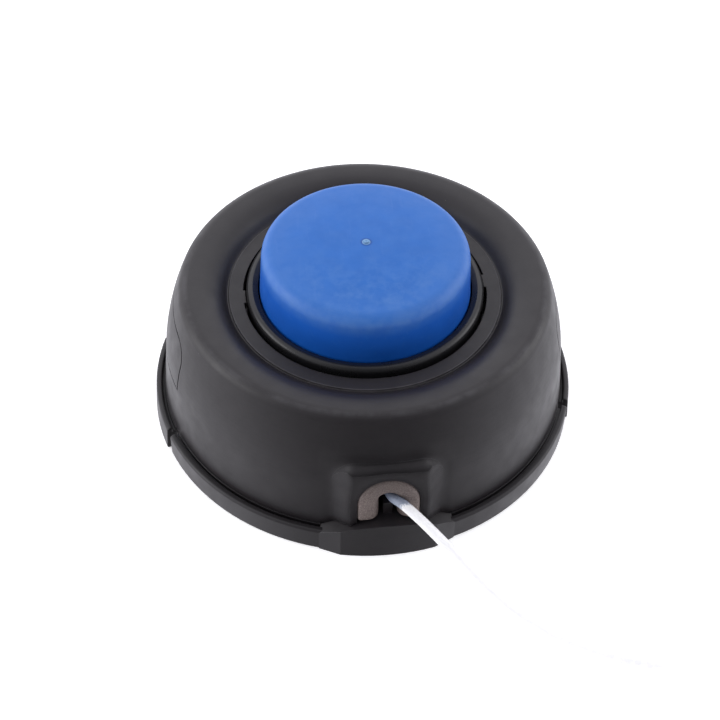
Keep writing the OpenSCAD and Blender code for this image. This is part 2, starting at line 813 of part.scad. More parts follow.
// Boss of one eyelet: a flat face with sloping flanks and top, cut from three outlines
module eyelet_boss() {
    face = boss_w / 2 - boss_slope_w;
    top = (boss_top - eyelet_z) / cos(cover_draft);
    sink = 4;
    foot = face + boss_slope_w * (boss_out + sink) / boss_slope_h;
    edge = top - boss_top_drop;
    back = edge + boss_top_drop * (boss_out + sink) / boss_out;
    eyelet_frame() intersection() {
        translate([0, 0, -eyelet_z]) linear_extrude(far)
            polygon([[-foot, sink], [-face, -boss_out], [face, -boss_out], [foot, sink]]);
        rotate([90, 0, 90]) linear_extrude(far, center = true) polygon([
            [-boss_out, -eyelet_z], [-boss_out, edge], [sink, back], [sink, -eyelet_z]]);
        rotate([90, 0, 0]) linear_extrude(far, center = true) {
            translate([-boss_w / 2, -eyelet_z]) square([boss_w, eyelet_z + top - boss_round]);
            translate([-boss_w / 2 + boss_round, 0]) square([boss_w - 2 * boss_round, top]);
            for (side = [-1, 1]) translate([side * (boss_w / 2 - boss_round), top - boss_round])
                circle(boss_round);
        }
    }
}

// Everything under the cover's outer surface, moved inwards by off
module cover_body(off) {
    section_sector(360) polygon(concat([[0, lip_z]], roof_curve(off), [[0, dish_z - off]]));
}

module cover() {
    color(black) difference() {
        union() {
            rotate_extrude() polygon(concat(
                roof_curve(0),
                [[ring_r, ring_z], [hole_r, ring_z], [hole_r, roof_z]],
                rev(roof_curve(cover_wall))));
            // Collar round the hole
            ring(hole_r, hole_r + collar_t, roof_z - collar_h, roof_z + eps);
            // Index teeth that hang from the roof
            intersection() {
                index_teeth(cover_tooth_z, cover_h, cover_tooth_turn);
                cover_body(cover_wall / 2);
            }
            // Guide pads beside the knob
            both_sides() section_sector(pad_w / hole_r * 180 / PI)
                translate([knob_r + pad_gap, roof_z]) square([knob_gap, ring_z - roof_z]);
            both_sides() difference() {
                eyelet_boss();
                cover_body(cover_wall);
            }
        }
        both_sides() {
            eyelet_frame() {
                // Shallow pocket with sloping sides in the boss's face
                arch_sweep(far) polygon([[0, pocket_floor], [pocket_r, pocket_floor],
                    [pocket_edge_r, boss_out], [pocket_edge_r, far], [0, far]]);
                // Seats of the eyelet's two flanges and the slot between them
                arch_slot(eyelet_r + neck_gap, 0, far, far);
                arch_slot(rear_r + leg_play, -cover_wall - inner_reach, -cover_wall, far);
                arch_slot(neck_r + neck_gap, -cover_wall - 1, 1, far);
            }
            // Arched notch over the nose
            intersection() {
                rotate(-90) ring_sector(cover_r - 2 * cover_wall, cover_r + 4, 0, nose_h + 2,
                    2 * nose_half_angle + 4);
                under_arch(notch_gap);
            }
            window_prism(0);
        }
        // Nothing of the cover reaches below its lip
        translate([0, 0, -1]) cylinder(h = lip_z + 1 - eps / 2, r = far);
    }
}

// Trumpet-mouthed metal eyelet, open downwards, clasping the wall between two flanges
module eyelet() {
    edge = 1.1;
    seat = cover_wall + 0.1;
    section = concat(
        [[neck_r, wall_play], [eyelet_r, wall_play]],
        arc([eyelet_r - edge, eyelet_out - edge], edge, 0, 90, 5),
        arc([throat_r + flare_r, eyelet_out - flare_r], flare_r, 90, 180, 8),
        arc([throat_r + rear_flare_r, -seat - rear_t + rear_flare_r], rear_flare_r, 180, 270, 6),
        [[rear_r, -seat - rear_t], [rear_r, -seat], [neck_r, -seat]]);
    eyelet_frame() arch_sweep(eyelet_leg) polygon(section);
}

module eyelet_front() {
    color(sintered) eyelet();
}

module eyelet_rear() {
    color(sintered) rotate(180) eyelet();
}

// Free end of the line, swept along its route
module line_tail() {
    sides = 8;
    last = len(line_route) - 1;
    function unit(v) = v / norm(v);
    function along(i) = unit(line_route[min(i + 1, last)] - line_route[max(i - 1, 0)]);
    points = [for (i = [0 : last]) for (k = [0 : sides - 1])
        let (t = along(i), side = unit(cross(t, [0, 0, 1])), up = cross(side, t),
            w = polar(line_d / 2, 360 * (k + 0.5) / sides))
        line_route[i] + side * w[0] + up * w[1]];
    color(line_white) polyhedron(points, tube_faces(last, sides));
}

housing();
thread_insert();
spring_seat();
spring();
spool();
line_winding();
bearing_outer_ring();
bearing_inner_ring();
bearing_balls();
bearing_cage();
bearing_seal_upper();
bearing_seal_lower();
retaining_ring();
tap_button();
button_screw();
button_washer();
cover();
eyelet_front();
eyelet_rear();
line_tail();
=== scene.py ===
"""Looks of a trimmer head: its line, thread, spring and cover, every finish, and a small studio."""

import json
import math

import bmesh
import bpy
from mathutils import Matrix, Vector


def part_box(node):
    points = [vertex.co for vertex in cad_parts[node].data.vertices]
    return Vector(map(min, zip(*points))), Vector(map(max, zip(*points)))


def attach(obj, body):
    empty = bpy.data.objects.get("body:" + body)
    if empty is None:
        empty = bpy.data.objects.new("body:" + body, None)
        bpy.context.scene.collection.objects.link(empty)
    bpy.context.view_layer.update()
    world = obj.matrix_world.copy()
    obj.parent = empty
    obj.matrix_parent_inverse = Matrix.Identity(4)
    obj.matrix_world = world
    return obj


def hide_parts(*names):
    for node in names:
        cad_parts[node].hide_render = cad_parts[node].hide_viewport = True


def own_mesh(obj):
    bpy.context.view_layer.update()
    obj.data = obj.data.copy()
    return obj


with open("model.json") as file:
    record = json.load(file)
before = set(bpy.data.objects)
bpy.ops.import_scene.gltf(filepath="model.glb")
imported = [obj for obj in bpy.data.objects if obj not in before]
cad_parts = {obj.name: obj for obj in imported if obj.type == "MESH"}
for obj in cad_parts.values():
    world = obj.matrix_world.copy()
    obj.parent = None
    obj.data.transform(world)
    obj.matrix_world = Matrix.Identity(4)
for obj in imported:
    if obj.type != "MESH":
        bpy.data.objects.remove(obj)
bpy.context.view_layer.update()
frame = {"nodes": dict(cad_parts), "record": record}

MM = 0.001

# Camera, fitted to the photograph
CAMERA_AT = Vector((-36.66, -275.14, 307.95)) * MM
CAMERA_TO = Vector((-0.91, 0.12, 10.88)) * MM
CAMERA_ROLL = math.radians(1.361)
LENS_MM = 70
SENSOR_MM = 36

# Free end of the line: the route's points from the part's source, in millimetres
LINE_ROUTE_MM = [
    (0.2, -50.6, 18.9), (0.3, -53, 19), (0.5, -55, 19.1), (1.3, -57, 19.3), (2.9, -58.8, 19.4),
    (4.9, -61, 19), (7.9, -64.2, 17.8), (11.7, -68.3, 15.8), (15.5, -72.3, 13.4),
    (19.2, -76.3, 10.9), (23.1, -80.2, 8.5), (27.3, -83.9, 6.3), (31.8, -87.5, 4.6),
    (36.7, -90.8, 3.3), (41.8, -93.8, 2.4), (47.2, -96.4, 1.8), (52.8, -98.6, 1.5),
    (58.5, -100.5, 1.4), (64.3, -102.1, 1.4),
]
LINE_D = 2.7 * MM
LINE_STEPS = 6
LINE_SIDES = 24

# Edges of a tube sharper than this stay sharp
SHARP_DEGREES = 60

# Drive thread: left-hand, its pitch and major radius, and its flats as shares of the pitch.
# The bore's own radius is the mount's.
THREAD_PITCH = 1.75 * MM
THREAD_MAJOR_R = 6 * MM
THREAD_CREST = 0.25
THREAD_ROOT = 0.125
THREAD_CHAMFER = 1 * MM
THREAD_COLUMNS = 96
THREAD_ROWS = 128
THREAD_SHARP_DEGREES = 28

# Roof of the cover, from its highest ring to the rim of the flat inner ring: radius, depth under the top
ROOF_MM = [
    (47.79, 0), (46.9, 0.05), (45.5, 0.18), (44, 0.42), (42.8, 0.75), (41.7, 1.2), (40.8, 1.75), (40, 2.4),
    (39.3, 3.1), (38.7, 3.8), (38.2, 4.35), (37.85, 4.6), (37.62, 4.6), (37.5, 4.4), (37.4, 4.1),
]
ROOF_STEPS = 3
ROOF_COLUMNS = 128

# What the CAD roof's faces have in common: they face upwards, at most so deep under the top
ROOF_FACES_UP = 0.3
ROOF_DEPTH = 5 * MM

# How far two points of the CAD mesh on one level, or on one ring, may differ
SAME_LEVEL = 0.01 * MM
SAME_RING = 0.02 * MM

# Rings of the cover that are painted lighter: a painted highlight along the rim round the flat inner ring,
# and scuffs with a painted highlight on the top of the rolled shoulder.
# Each is full up to the first distance from the ring, and gone at the second.
RIM_R = ROOF_MM[-1][0] * MM
RIM_HIGHLIGHT_SPAN = (0.12 * MM, 0.28 * MM)
CREST_R = 49.2 * MM
CREST_SCUFF_AND_HIGHLIGHT = (0.2 * MM, 1 * MM)

# Soft edges of the eyelet bosses
BOSS_EDGE_MM = 3.6
BOSS_STEEPNESS = 0.45

# A boss beside and above its eyelet, in half widths of the eyelet: where it is whole, and where it ends
BOSS_BESIDE = (2.0, 2.2)
BOSS_ABOVE = (0.7, 1.0)

# Larger edge radii of the rim at the two latches: where they start, and from where they are whole
LATCH_FROM = 54 * MM
LATCH_TO = 56 * MM
LATCH_EDGE_MM = 0.9

# Painted highlight on the button's nub, its middle, and the painted shadow round its foot.
# The edge and the foot are measured from the highlight's radius, the middle from the axis.
NUB_HIGHLIGHT_R = 1.1 * MM
NUB_HIGHLIGHT_EDGE = (-0.05 * MM, 0.1 * MM)
NUB_HIGHLIGHT_MIDDLE = (0.18 * MM, 0.4 * MM)
NUB_SHADOW_FOOT = (0.1 * MM, 0.7 * MM)

# Bands of the button, in millimetres under its top: where each change starts and where it ends. The paler
# crown and the sheen band are painted sheen, and the rubbed rounding is lighter also with a painted sheen
CROWN_MM = (4.6, 2)
SHEEN_BAND_MM = (3, 1.5)
RUB_SHEEN_RISE_MM = (8.2, 4)
RUB_SHEEN_FALL_MM = (2.8, 1)

# Line: how far from the axis its painted shade, where it runs inside the eyelet, starts to fade and ends
LINE_SHADE_FROM = 54 * MM
LINE_SHADE_TO = 60.6 * MM

# Spring wire, and how its first and last turns lie flat
WIRE_R = 1 * MM
SPRING_TURNS = 5.5
FLAT_TURNS = 0.8
SPRING_STEPS = 48
WIRE_SIDES = 14

# Surroundings: tint, strength in front and behind, share of the sides, and where the change starts and ends
WORLD_TINT = (0.98, 0.975, 1.04, 1)
WORLD_FRONT = 0.207
WORLD_BACK = 1.32
WORLD_SIDES = 0.9
WORLD_FROM = -0.75
WORLD_TO = 0.85

# Floor, which glows faintly, but not under the head
FLOOR_HALF = 3
FLOOR_GLOW = 0.5
GLOW_FROM = 57 * MM
GLOW_TO = 60 * MM

# Soft boxes: place, size and power; all of them face the head
SOFT_BOXES = {
    "back_box": ((0, 0.65, 0.5), (0.7, 0.5), 0.427),
    "left_box": ((-0.7, 0.05, 0.3), (0.4, 0.5), 1.83),
    "right_box": ((0.7, 0.05, 0.3), (0.4, 0.5), 1.1),
}
LIGHTS_AIM = (0, 0, 0.02)

# Colours of the black plastics: the two that the mould's flow mixes, the lighter black of worn edges and
# scuffs with a painted highlight, the rim's painted highlight, and dust
HOUSING_BLACK = ((0.0123, 0.0105, 0.0121), (0.0164, 0.0141, 0.0156))
SPOOL_BLACK = ((0.0082, 0.0082, 0.009), (0.0123, 0.0123, 0.0135))
WORN_AND_HIGHLIT_BLACK = (0.082, 0.08, 0.086)
RIM_HIGHLIGHT_BLACK = (0.09, 0.088, 0.095)
DUST = (0.2, 0.19, 0.18)

# How the marks on metal are stretched
ROUND_THE_AXIS = (1, 1, 8)
ALONG_THE_AXIS = (6, 6, 0.6)


def new_object(name, data):
    made = bpy.data.objects.new(name, data)
    bpy.context.scene.collection.objects.link(made)
    return made


def mesh_object(name, points, faces):
    """A smooth mesh object from points and faces, with its faces turned outwards."""
    data = bpy.data.meshes.new(name)
    data.from_pydata([tuple(p) for p in points], [], faces)
    work = bmesh.new()
    work.from_mesh(data)
    bmesh.ops.recalc_face_normals(work, faces=work.faces)
    work.to_mesh(data)
    work.free()
    data.shade_smooth()
    return new_object(name, data)


def tube(name, rings):
    """A closed tube through rings of points, with a flat cap at each end."""
    sides = len(rings[0])
    last = (len(rings) - 1) * sides
    faces = [tuple(range(sides)), tuple(range(last, last + sides))]
    for start in range(0, last, sides):
        for side in range(sides):
            beside = (side + 1) % sides
            faces.append((start + side, start + sides + side, start + sides + beside, start + beside))
    made = mesh_object(name, [p for ring in rings for p in ring], faces)
    made.data.set_sharp_from_angle(angle=math.radians(SHARP_DEGREES))
    return made


def make_camera():
    data = bpy.data.cameras.new("camera")
    data.lens = LENS_MM
    data.sensor_width = SENSOR_MM
    camera = new_object("camera", data)
    look = (CAMERA_TO - CAMERA_AT).normalized()
    level = look.cross(Vector((0, 0, 1))).normalized()
    upright = level.cross(look)
    right = math.cos(CAMERA_ROLL) * level + math.sin(CAMERA_ROLL) * upright
    up = math.cos(CAMERA_ROLL) * upright - math.sin(CAMERA_ROLL) * level
    turn = Matrix((right, up, -look)).transposed().to_4x4()
    camera.matrix_world = Matrix.Translation(CAMERA_AT) @ turn
    bpy.context.scene.camera = camera


def smooth_route(points, steps):
    """A curve through all the points, with steps points for each stretch between two of them."""
    out = []
    last = len(points) - 1
    for i in range(last):
        p0, p1, p2, p3 = (points[max(0, min(last, k))] for k in (i - 1, i, i + 1, i + 2))
        for step in range(steps):
            t = step / steps
            out.append(
                0.5 * (2 * p1 + (p2 - p0) * t + (2 * p0 - 5 * p1 + 4 * p2 - p3) * t**2
                       + (3 * p1 - p0 - 3 * p2 + p3) * t**3)
            )
    out.append(points[last])
    return out


def make_line():
    """The line's free end, a round tube along its route."""
    route = smooth_route([Vector(p) * MM for p in LINE_ROUTE_MM], LINE_STEPS)
    rings = []
    for before, place, after in zip(route[:1] + route, route, route[1:] + route[-1:]):
        along = (after - before).normalized()
        level = along.cross(Vector((0, 0, 1))).normalized()
        upright = level.cross(along)
        angles = (math.tau * side / LINE_SIDES for side in range(LINE_SIDES))
        rings.append([place + LINE_D / 2 * (math.cos(a) * level + math.sin(a) * upright) for a in angles])
    line = tube("cutting_line", rings)
    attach(line, "head")
    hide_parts("line_tail")
    return line


def thread_radius(turn, z, low, high, minor_r):
    """Radius of the threaded bore at a turn (0 to 1) and a height."""
    phase = (z / THREAD_PITCH + turn) % 1
    flank = (1 - THREAD_CREST - THREAD_ROOT) / 2
    rise = min(phase, 1 - phase) - THREAD_ROOT / 2
    depth = min(max(1 - rise / flank, 0), 1)
    threaded = minor_r + (THREAD_MAJOR_R - minor_r) * depth
    chamfered = minor_r + THREAD_CHAMFER - min(z - low, high - z)
    return max(threaded, chamfered)


def make_threaded_insert():
    """The hexagonal insert with its real thread, which the CAD leaves as a plain bore."""
    low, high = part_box("thread_insert")
    mount = next(m for m in frame["record"]["mounts"] if m["name"] == "shaft_thread")
    minor_r = mount["dims"]["r_mm"] * MM
    corner_r = high.x
    points = []
    for column in range(THREAD_COLUMNS):
        turn = column / THREAD_COLUMNS
        angle = math.tau * turn
        across = corner_r * math.cos(math.pi / 6) / math.cos(angle % (math.pi / 3) - math.pi / 6)
        ring = [(across, low.z)]
        for row in range(THREAD_ROWS + 1):
            z = low.z + (high.z - low.z) * row / THREAD_ROWS
            ring.append((thread_radius(turn, z, low.z, high.z, minor_r), z))
        ring.append((across, high.z))
        points += [(r * math.cos(angle), r * math.sin(angle), z) for r, z in ring]
    count = THREAD_ROWS + 3
    faces = []
    for column in range(THREAD_COLUMNS):
        here = column * count
        there = (column + 1) % THREAD_COLUMNS * count
        for row in range(count):
            up = (row + 1) % count
            faces.append((here + row, here + up, there + up, there + row))
    insert = mesh_object("threaded_insert", points, faces)
    insert.data.set_sharp_from_angle(angle=math.radians(THREAD_SHARP_DEGREES))
    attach(insert, "head")
    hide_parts("thread_insert")
    return insert


def make_spring():
    """The feed spring in round wire with flat end turns, attached to the coil's body. The real spring
    flattens as the button is pressed.
    """
    low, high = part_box("spring")
    coil_r = high.x - WIRE_R
    steps = round(SPRING_TURNS * SPRING_STEPS)
    rings = []
    for step in range(steps + 1):
        turn = step / SPRING_STEPS
        share = min(max((turn - FLAT_TURNS) / (SPRING_TURNS - 2 * FLAT_TURNS), 0), 1)
        z = low.z + WIRE_R + (high.z - low.z - 2 * WIRE_R) * share
        ring = []
        for side in range(WIRE_SIDES):
            section = math.tau * (side + 0.5) / WIRE_SIDES
            r = coil_r + WIRE_R * math.cos(section)
            angle = math.tau * turn
            ring.append((r * math.cos(angle), r * math.sin(angle), z + WIRE_R * math.sin(section)))
        rings.append(ring)
    spring = tube("feed_spring", rings)
    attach(spring, "coil")
    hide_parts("spring")
    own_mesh(spring)
    return spring


def spot(place):
    """A point's place rounded, the same for every vertex that stands there."""
    return tuple(round(c / MM, 3) for c in place)


def around(place):
    """A point's angle round the drive axis."""
    return math.atan2(place.y, place.x)


def zip_rings(outer, inner):
    """Triangles between two rings of (angle, number, ...) that may have different counts."""
    faces = []
    i = j = 0
    while i < len(outer) or j < len(inner):
        outer_next, inner_next = outer[(i + 1) % len(outer)], inner[(j + 1) % len(inner)]
        outer_angle = outer_next[0] + math.tau * (i + 1 >= len(outer))
        inner_angle = inner_next[0] + math.tau * (j + 1 >= len(inner))
        here, there = outer[i % len(outer)][1], inner[j % len(inner)][1]
        if j >= len(inner) or i < len(outer) and outer_angle <= inner_angle:
            faces.append((here, outer_next[1], there))
            i += 1
        else:
            faces.append((here, inner_next[1], there))
            j += 1
    return faces


def make_cover():
    """The CAD cover with its roof drawn anew: a broad shoulder, then a groove round the flat inner ring."""
    source = frame["nodes"]["cover"].data
    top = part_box("cover")[1].z
    profile = smooth_route([Vector((r, 0, top / MM - drop)) * MM for r, drop in ROOF_MM], ROOF_STEPS)
    outer_r, rim = profile[0].x, profile[-1]
    points = [v.co.copy() for v in source.vertices]
    level = [p for p in points if abs(p.z - rim.z) < SAME_LEVEL]
    old_rim_r = max(p.xy.length for p in level if p.xy.length < outer_r - ROOF_DEPTH)

    faces, normals = [], []
    kept, cut = {}, set()
    for face in source.polygons:
        in_roof = old_rim_r < face.center.xy.length < outer_r and face.center.z > top - ROOF_DEPTH
        if in_roof and face.normal.z > ROOF_FACES_UP:
            cut.update(spot(points[n]) for n in face.vertices)
        else:
            kept.update((spot(points[n]), n) for n in face.vertices)
            faces.append(tuple(face.vertices))
            normals += [source.corner_normals[i].vector.copy() for i in face.loop_indices]

    border = [(around(points[n]), n) for key, n in kept.items() if key in cut]
    middle_r = (outer_r + rim.x) / 2
    crest = sorted(pair for pair in border if points[pair[1]].xy.length > middle_r)
    old_rim = sorted(pair for pair in border if points[pair[1]].xy.length < middle_r)
    for place in level:
        if abs(place.xy.length - old_rim_r) < SAME_RING:
            place.xy *= rim.x / place.xy.length

    even = [(math.tau * column / ROOF_COLUMNS - math.pi, None) for column in range(ROOF_COLUMNS)]
    rings = []
    last = len(profile) - 1
    for k, place in enumerate(profile):
        step = profile[min(k + 1, last)] - profile[max(k - 1, 0)]
        ring = []
        for angle, n in {0: crest, last: old_rim}.get(k, even):
            turn = Matrix.Rotation(angle, 3, "Z")
            ring.append((angle, len(points), turn @ Vector((step.z, 0, -step.x)).normalized()))
            points.append(turn @ place if n is None else points[n].copy())
        rings.append(ring)
    leaning = {n: normal for ring in rings for _, n, normal in ring}
    for outer, inner in zip(rings, rings[1:]):
        for face in zip_rings(outer, inner):
            faces.append(face)
            normals += [leaning[n] for n in face]

    used = sorted({n for face in faces for n in face})
    number = {n: i for i, n in enumerate(used)}
    data = bpy.data.meshes.new("moulded_cover")
    data.from_pydata([tuple(points[n]) for n in used], [], [tuple(number[n] for n in face) for face in faces])
    data.shade_smooth()
    data.normals_split_custom_set([tuple(n) for n in normals])
    cover = new_object("moulded_cover", data)
    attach(cover, "head")
    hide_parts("cover")
    return cover


class Paint:
    """One procedural material. Sizes of its patterns are in millimetres on the object."""

    def __init__(self, name):
        self.material = bpy.data.materials.new(name)
        self.material.use_nodes = True
        self.nodes = self.material.node_tree.nodes
        self.shader = self.nodes["Principled BSDF"]
        self.place = self.add("TexCoord").outputs["Object"]

    def put(self, node, inputs):
        for key, value in inputs.items():
            if isinstance(value, bpy.types.NodeSocket):
                self.material.node_tree.links.new(value, node.inputs[key])
            else:
                node.inputs[key].default_value = value

    def add(self, kind, inputs=None, **settings):
        node = self.nodes.new("ShaderNode" + kind)
        for name, value in settings.items():
            setattr(node, name, value)
        self.put(node, inputs or {})
        return node

    def set(self, **inputs):
        self.put(self.shader, {key.replace("_", " "): value for key, value in inputs.items()})

    def stretched(self, x, y, z):
        """The place scaled along each axis, for patterns that run in one direction."""
        return self.add("Mapping", {"Vector": self.place, "Scale": (x, y, z)}).outputs["Vector"]

    def noise(self, size_mm, detail=2, place=None, roughness=0.5):
        inputs = {"Vector": place or self.place, "Scale": 1 / (size_mm * MM), "Detail": detail,
                  "Roughness": roughness}
        return self.add("TexNoise", inputs).outputs["Fac"]

    def coordinate(self, axis):
        return self.add("SeparateXYZ", {0: self.place}).outputs[axis]

    def from_axis(self):
        """Distance from the drive axis."""
        flat = self.add("VectorMath", {0: self.place, 1: (1, 1, 0)}, operation="MULTIPLY").outputs["Vector"]
        return self.add("VectorMath", {0: flat}, operation="LENGTH").outputs["Value"]

    def near(self, distance, full, none):
        """1 up to a distance to either side, and 0 from a larger one on."""
        return self.span(self.add("Math", {0: distance}, operation="ABSOLUTE").outputs[0], full, none, 1, 0)

    def spots(self, spacing_mm, size_mm):
        """1 in small round spots, and 0 between them."""
        inputs = {"Vector": self.place, "Scale": 1 / (spacing_mm * MM)}
        distance = self.add("TexVoronoi", inputs).outputs["Distance"]
        return self.span(distance, size_mm / spacing_mm, 0.6 * size_mm / spacing_mm, 0, 1)

    def span(self, value, start, end, low, high):
        inputs = {"Value": value, "From Min": start, "From Max": end, "To Min": low, "To Max": high}
        return self.add("MapRange", inputs).outputs["Result"]

    def times(self, a, b):
        return self.add("Math", {0: a, 1: b}, operation="MULTIPLY").outputs[0]

    def plus(self, a, b):
        return self.add("Math", {0: a, 1: b}, operation="ADD").outputs[0]

    def mix(self, share, a, b):
        node = self.add("Mix", data_type="RGBA")
        colours = [s for s in node.inputs if s.type == "RGBA"]
        self.put(node, {0: share})
        for socket, value in zip(colours, (a, b)):
            if isinstance(value, bpy.types.NodeSocket):
                self.material.node_tree.links.new(value, socket)
            else:
                socket.default_value = (*value, 1)
        return next(s for s in node.outputs if s.type == "RGBA")

    def rounded(self, radius_mm):
        """The normal with edges rounded by that radius."""
        return self.add("Bevel", {"Radius": radius_mm * MM}, samples=6).outputs["Normal"]

    def edge_wear_and_highlight(self, radius_mm):
        """From 0 on flat places to 1 on sharp edges."""
        true_normal = self.add("NewGeometry").outputs["Normal"]
        dot = self.add("VectorMath", {0: self.rounded(radius_mm), 1: true_normal},
                       operation="DOT_PRODUCT").outputs["Value"]
        return self.span(dot, 0.97, 0.8, 0, 1)

    def soft_boss(self, edge_mm):
        """Normal of the cover: its bosses have large edge radii and run out steeply into the wall."""
        mask = self.near_boss()
        radius = self.span(mask, 0, 1, edge_mm * MM, BOSS_EDGE_MM * MM)
        normal = self.add("Bevel", {"Radius": radius}, samples=8).outputs["Normal"]
        steep = self.add("CombineXYZ", {0: 1, 1: 1, 2: self.span(mask, 0, 1, 1, BOSS_STEEPNESS)}).outputs[0]
        leaned = self.add("VectorMath", {0: normal, 1: steep}, operation="MULTIPLY").outputs["Vector"]
        return self.add("VectorMath", {0: leaned}, operation="NORMALIZE").outputs["Vector"]

    def soft_latch(self, edge_mm):
        """Normal with rounded edges, which have larger radii at the latches and the slits beside them."""
        between = self.near(self.coordinate("X"), LATCH_FROM, LATCH_TO)
        radius = self.span(between, 0, 1, LATCH_EDGE_MM * MM, edge_mm * MM)
        return self.add("Bevel", {"Radius": radius}, samples=8).outputs["Normal"]

    def near_boss(self):
        """1 on the two eyelet bosses and 0 elsewhere, from where the eyelets stand."""
        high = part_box("eyelet_front")[1]
        beside = self.near(self.coordinate("X"), *(share * high.x for share in BOSS_BESIDE))
        ends = (high.z + share * high.x for share in BOSS_ABOVE)
        return self.times(beside, self.span(self.coordinate("Z"), *ends, 1, 0))

    def bump(self, height, depth_mm, normal=None):
        inputs = {"Height": height, "Distance": depth_mm * MM, "Strength": 1}
        if normal is not None:
            inputs["Normal"] = normal
        return self.add("Bump", inputs).outputs["Normal"]


def cover_wear_and_highlights(paint, colour, haze):
    """The cover's own marks: a painted highlight along the rim, scuffs with a painted highlight on the
    shoulder, and matter bosses and inner ring.
    """
    # Painted highlight: a thin lighter line along the rim round the flat inner ring
    off_rim = paint.plus(paint.from_axis(), -RIM_R)
    wear_and_painted_light = paint.times(paint.near(off_rim, *RIM_HIGHLIGHT_SPAN), paint.span(paint.noise(6, 3), 0.35, 0.6, 0.15, 0.6))
    colour = paint.mix(wear_and_painted_light, colour, RIM_HIGHLIGHT_BLACK)
    haze = paint.plus(haze, paint.span(off_rim, -0.2 * MM, 0, 0.07, 0))
    # Scuffs on the top of the shoulder, lighter also with a painted highlight along it
    near_crest = paint.near(paint.plus(paint.from_axis(), -CREST_R), *CREST_SCUFF_AND_HIGHLIGHT)
    scuffs_and_highlight = paint.times(near_crest, paint.span(paint.noise(7, 4, roughness=0.6), 0.42, 0.62, 0.1, 1))
    colour = paint.mix(paint.times(scuffs_and_highlight, 0.32), colour, WORN_AND_HIGHLIT_BLACK)
    haze = paint.plus(haze, paint.plus(paint.times(scuffs_and_highlight, -0.08), paint.times(paint.near_boss(), 0.14)))
    return colour, haze


def moulded_black(name, blacks, roughness, edge_mm, is_cover=False):
    """Moulded black plastic: faint flow marks, an eroded mould's fine grain, dust specks, and worn edges that
    are lighter also with a painted highlight.
    """
    paint = Paint(name)
    flow = paint.noise(14, 3, paint.stretched(1, 1, 2.2))
    mottle = paint.noise(1.6, 3)
    shade = paint.plus(paint.span(flow, 0.35, 0.7, 0, 0.6), paint.span(mottle, 0.3, 0.7, 0, 0.4))
    colour = paint.mix(shade, *blacks)
    # Edges lighter in colour: partly wear, partly a painted highlight where the rounded edges catch the light
    wear_and_painted_light = paint.times(paint.edge_wear_and_highlight(edge_mm), paint.span(paint.noise(4, 3), 0.35, 0.6, 0.25, 1))
    colour = paint.mix(paint.times(wear_and_painted_light, 0.55), colour, WORN_AND_HIGHLIT_BLACK)
    dust = paint.times(paint.spots(3.1, 0.1), paint.span(paint.noise(9), 0.52, 0.62, 0, 1))
    colour = paint.mix(paint.times(dust, 0.5), colour, DUST)
    haze = paint.span(paint.noise(5, 4), 0.3, 0.75, roughness - 0.05, roughness + 0.06)
    if is_cover:
        colour, haze = cover_wear_and_highlights(paint, colour, haze)
    edges = paint.soft_boss(edge_mm) if is_cover else paint.soft_latch(edge_mm)
    paint.set(
        Base_Color=colour,
        Roughness=paint.plus(haze, paint.times(wear_and_painted_light, -0.12)),
        Specular_IOR_Level=0.41,
        Normal=paint.bump(paint.noise(0.4, 2), 0.012, edges),
    )
    return paint.material


